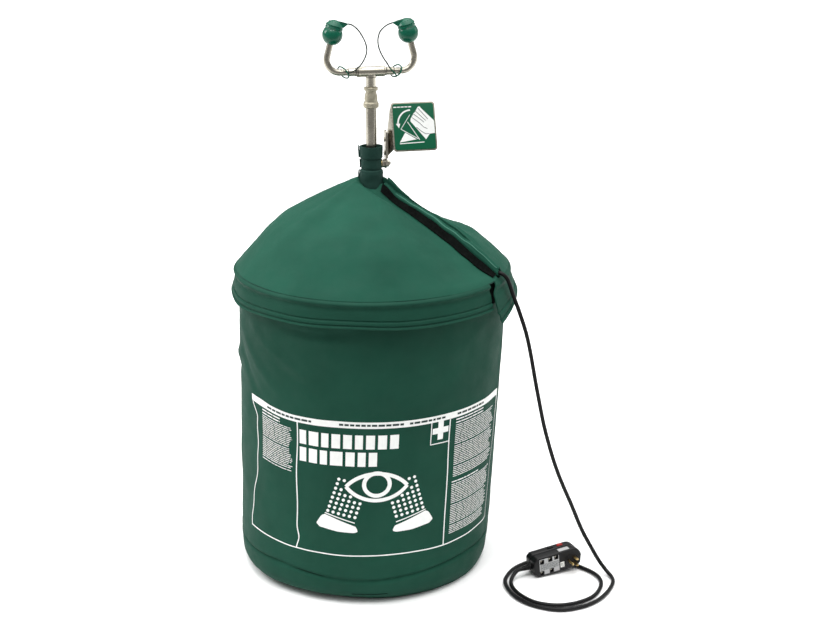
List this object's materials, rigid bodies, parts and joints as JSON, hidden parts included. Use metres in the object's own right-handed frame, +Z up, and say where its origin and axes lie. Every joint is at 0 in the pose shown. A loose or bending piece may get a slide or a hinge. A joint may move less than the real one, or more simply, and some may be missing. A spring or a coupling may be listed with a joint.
{
  "type": "portable eyewash station",
  "caption": "Portable eyewash: pressure tank in a padded heated jacket, with a push-flag ball valve, riser, capped spray heads and a mains lead with a leakage-trip plug.",
  "frame": {"origin": "on the floor under the middle of the tank", "axes": "+X to the user's right, -Y towards the user, +Z up"},
  "size_m": [0.7733, 0.5816, 1.1175],
  "materials": {
    "green_fabric": "matt woven polyester over padding",
    "dark_fabric": "dark ribbed wrap",
    "steel": "satin stainless steel",
    "cast_steel": "blasted cast stainless steel",
    "brass": "bright brass",
    "green_plastic": "glossy moulded plastic",
    "tether_plastic": "springy plastic-coated wire",
    "black_plastic": "fine-grained moulded plastic",
    "red_plastic": "glossy moulded plastic",
    "white_plastic": "moulded plastic",
    "black_rubber": "smooth flexible PVC",
    "red_rubber": "silicone rubber",
    "clear_lens": "clear polycarbonate",
    "sign_green": "printed sign film"
  },
  "bodies": {
    "tank": {"tank_shell": "steel", "head_gasket": "red_rubber", "tank_head": "cast_steel", "dip_tube": "white_plastic", "heater_band": "red_rubber", "thermostat_box": "black_plastic", "heater_lead": "black_rubber", "pressure_gauge": "steel", "gauge_lens": "clear_lens", "relief_valve": "brass", "air_valve": "brass", "nipple": "steel", "ball_valve_body": "brass", "valve_seat_lower": "white_plastic", "valve_seat_upper": "white_plastic", "packing_nut": "steel", "riser_pipe": "steel", "reducing_coupling": "cast_steel", "tee": "steel", "bushing_left": "steel", "bushing_right": "steel", "arm_left": "steel", "arm_right": "steel", "spray_head_left": "green_plastic", "spray_head_right": "green_plastic", "spray_disc_left": "white_plastic", "spray_disc_right": "white_plastic", "tether_left": "tether_plastic", "tether_right": "tether_plastic", "tether_loop_left": "tether_plastic", "tether_loop_right": "tether_plastic", "jacket_body": "green_fabric", "hood_cone": "green_fabric", "hood_skirt": "green_fabric", "hood_flap": "green_fabric", "neck_sleeve": "dark_fabric", "power_cord": "black_rubber", "cord_relief": "black_rubber", "gfci_front_shell": "black_plastic", "gfci_back_shell": "black_plastic", "blade_lower": "brass", "blade_upper": "brass", "ground_pin": "brass", "circuit_board": "green_plastic"},
    "lever": {"valve_ball": "steel", "valve_stem": "steel", "valve_lever": "steel", "lever_nut": "steel", "push_flag": "steel", "flag_sign": "sign_green", "flag_rivet_lower": "steel", "flag_rivet_upper": "steel"},
    "cap_left": {"cap_left": "green_plastic"},
    "cap_right": {"cap_right": "green_plastic"},
    "gauge_needle": {"gauge_needle": "black_plastic"},
    "relief_ring": {"relief_ring": "steel"},
    "filler_cap": {"filler_cap": "brass"},
    "air_valve_cap": {"air_valve_cap": "black_plastic"},
    "test_button": {"test_button": "black_plastic"},
    "reset_button": {"reset_button": "red_plastic"}
  },
  "joints": [
    {"name": "push_flag_hinge", "type": "hinge", "parent": "tank", "child": "lever", "pos_m": [0, 0, 0.832], "axis": [-0.9816, -0.1908, 0], "range_deg": [0, 90]},
    {"name": "cap_left_lift", "type": "slide", "parent": "tank", "child": "cap_left", "axis": [0.2541, 0.0494, 0.9659], "range_m": [0, 0.04], "deforming": ["tether_left"]},
    {"name": "cap_right_lift", "type": "slide", "parent": "tank", "child": "cap_right", "axis": [-0.2541, -0.0494, 0.9659], "range_m": [0, 0.04], "deforming": ["tether_right"]},
    {"name": "gauge_needle_turn", "type": "hinge", "parent": "tank", "child": "gauge_needle", "pos_m": [-0.04, -0.016, 0.668], "axis": [0, 1, 0], "range_deg": [0, 270], "stiffness_Nm_per_rad": 0.002},
    {"name": "relief_ring_pull", "type": "slide", "parent": "tank", "child": "relief_ring", "axis": [0, 0, 1], "range_m": [0, 0.004], "stiffness_N_per_m": 2000},
    {"name": "filler_cap_turn", "type": "hinge", "parent": "tank", "child": "filler_cap", "pos_m": [-0.016, 0.042, 0.63], "axis": [0, 0, 1], "continuous": true},
    {"name": "air_valve_cap_turn", "type": "hinge", "parent": "tank", "child": "air_valve_cap", "pos_m": [0.024, 0.038, 0.643], "axis": [0, 0, 1], "continuous": true},
    {"name": "test_button_press", "type": "slide", "parent": "tank", "child": "test_button", "axis": [0.0889, 0.0359, -0.9954], "range_m": [0, 0.0015], "stiffness_N_per_m": 400},
    {"name": "reset_button_press", "type": "slide", "parent": "tank", "child": "reset_button", "axis": [0.0889, 0.0359, -0.9954], "range_m": [0, 0.0015], "stiffness_N_per_m": 400}
  ]
}
